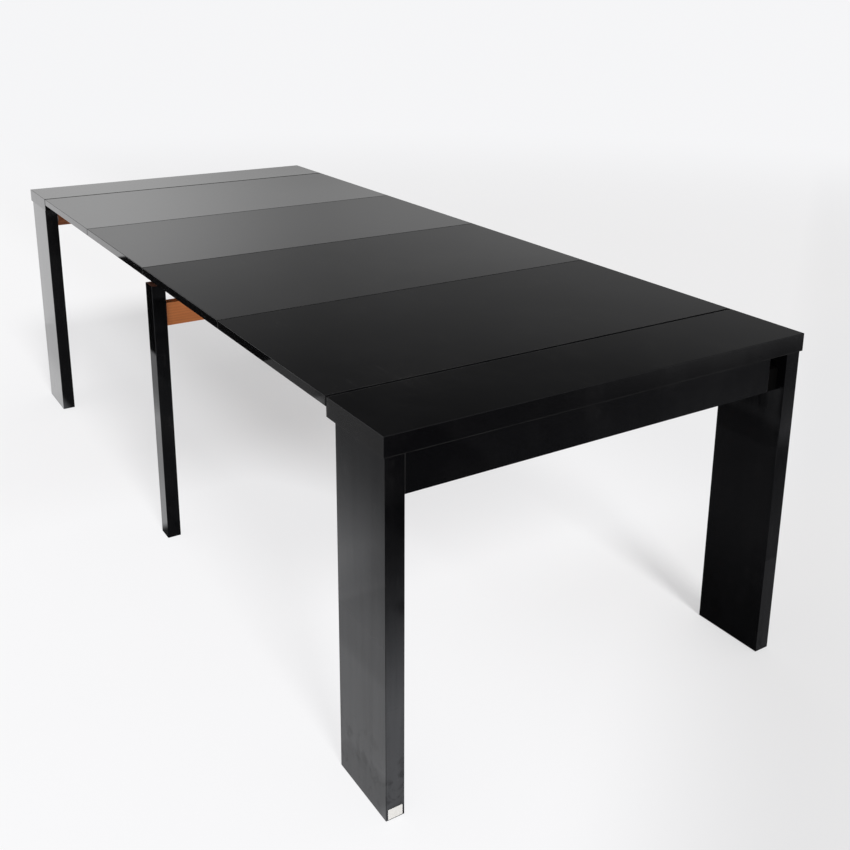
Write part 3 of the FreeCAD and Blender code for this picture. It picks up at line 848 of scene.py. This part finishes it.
# Painted reflection: these levels are seen only by the gloss and light nothing
# Brightness of the surroundings over the sine of the height above the horizon, on either side
BRIGHT_SIDE = (
    (0.0, 0.94), (0.190, 0.95), (0.210, 0.91), (0.2314, 0.81), (0.252, 0.57), (0.273, 0.37), (0.300, 0.27),
    (0.331, 0.19), (0.386, 0.055), (0.45, 0.03), (0.62, 0.03), (0.80, 0.50), (1.0, 0.72),
)
DIM_SIDE = (
    (0.0, 0.92), (0.145, 0.82), (0.170, 0.62), (0.190, 0.51), (0.210, 0.45), (0.234, 0.33), (0.255, 0.245),
    (0.285, 0.18), (0.338, 0.08), (0.386, 0.045), (0.62, 0.03), (0.80, 0.50), (1.0, 0.72),
)
BRIGHT_WAY = Vector((0.5, 0.866, 0.0))
BRIGHT_TURN = (0.04, 0.27)

# Camera, as it stands to the drawn-out table
PICTURE = 850
FOCAL_PIXELS = 1066.187
CENTRE_ROW = 290
SENSOR = 36.0
SIGHT = 1000.0
EYE = Vector((-2.54408, 1.27431, 1.43532))
RIGHT = Vector((-0.532575, -0.846355, 0.006877))
DOWN = Vector((-0.239019, 0.142600, -0.960487))
FORWARD = Vector((0.811932, -0.513175, -0.278240))


def sky_levels(tree, height, levels):
    """Grey levels over the height above the horizon."""
    ramp = add(tree, "ShaderNodeValToRGB", {"Fac": height})
    stops = ramp.color_ramp.elements
    while len(stops) < len(levels):
        stops.new(0.5)
    for stop, (position, level) in zip(stops, levels):
        stop.position = position
        stop.color = (level, level, level, 1.0)
    return ramp.outputs["Color"]


def surroundings():
    """Soft even light; the gloss shows a painted pale horizon under a dim ceiling, the camera a plain
    backdrop.
    """
    world = bpy.data.worlds.new("studio")
    scene.world = world
    world.use_nodes = True
    tree = world.node_tree
    tree.nodes.clear()
    direction = add(tree, "ShaderNodeTexCoord").outputs["Generated"]
    height = parted(tree, direction)["Z"]
    towards = vector_calc(tree, "DOT_PRODUCT", direction, BRIGHT_WAY).outputs["Value"]
    sides = [sky_levels(tree, height, levels) for levels in (DIM_SIDE, BRIGHT_SIDE)]
    view = blended(tree, ramped(tree, towards, *BRIGHT_TURN), *sides)
    view = blended(tree, add(tree, "ShaderNodeLightPath").outputs["Is Camera Ray"], view, BACKDROP)
    tone = blended(tree, seen_share(tree), AMBIENT, view)
    background = add(tree, "ShaderNodeBackground", {"Color": tone})
    add(tree, "ShaderNodeOutputWorld", {"Surface": background.outputs[0]})


def key_light():
    """A broad soft light from high up beyond the near end."""
    lamp = bpy.data.lights.new("key", "SUN")
    lamp.energy = KEY_STRENGTH
    lamp.angle = KEY_SPREAD
    holder = bpy.data.objects.new("key", lamp)
    scene.collection.objects.link(holder)
    holder.rotation_mode = "QUATERNION"
    holder.rotation_quaternion = KEY_TRAVEL.to_track_quat("-Z", "Y")
    holder.visible_glossy = False


def camera():
    """The camera of the picture."""
    data = bpy.data.cameras.new("camera")
    data.sensor_width = SENSOR
    data.lens = FOCAL_PIXELS / PICTURE * SENSOR
    data.shift_y = (CENTRE_ROW - PICTURE / 2) / PICTURE
    data.clip_end = SIGHT
    holder = bpy.data.objects.new("camera", data)
    scene.collection.objects.link(holder)
    turned = Matrix((RIGHT, -DOWN, -FORWARD)).transposed()
    holder.matrix_world = Matrix.Translation(EYE) @ turned.to_4x4()
    scene.camera = holder


for node_name in nodes:
    finish_node(node_name)
label()
bracket_screws("near", -1)
bracket_screws("far", 1)
for leaf_number in range(1, LEAVES + 1):
    batten_screws(leaf_number)
pale_floor()
# Painted dark reflections before and to the left of the table, and painted shade of the floor in the gloss
dark_reflection_sheet("front_dark_reflection", upright_corners(*((FRONT_X, y) for y in FRONT_ENDS), FRONT_TOP), front_density)
dark_reflection_sheet("left_dark_reflection", upright_corners(*((x, SIDE_Y) for x in SIDE_ENDS), SIDE_TOP), side_density)
dark_reflection_sheet("floor_shade_reflection", level_corners(*OVER_FLOOR_REACH, OVER_FLOOR_HEIGHT), floor_density)
surroundings()
key_light()
camera()
scene.view_settings.view_transform = "Standard"
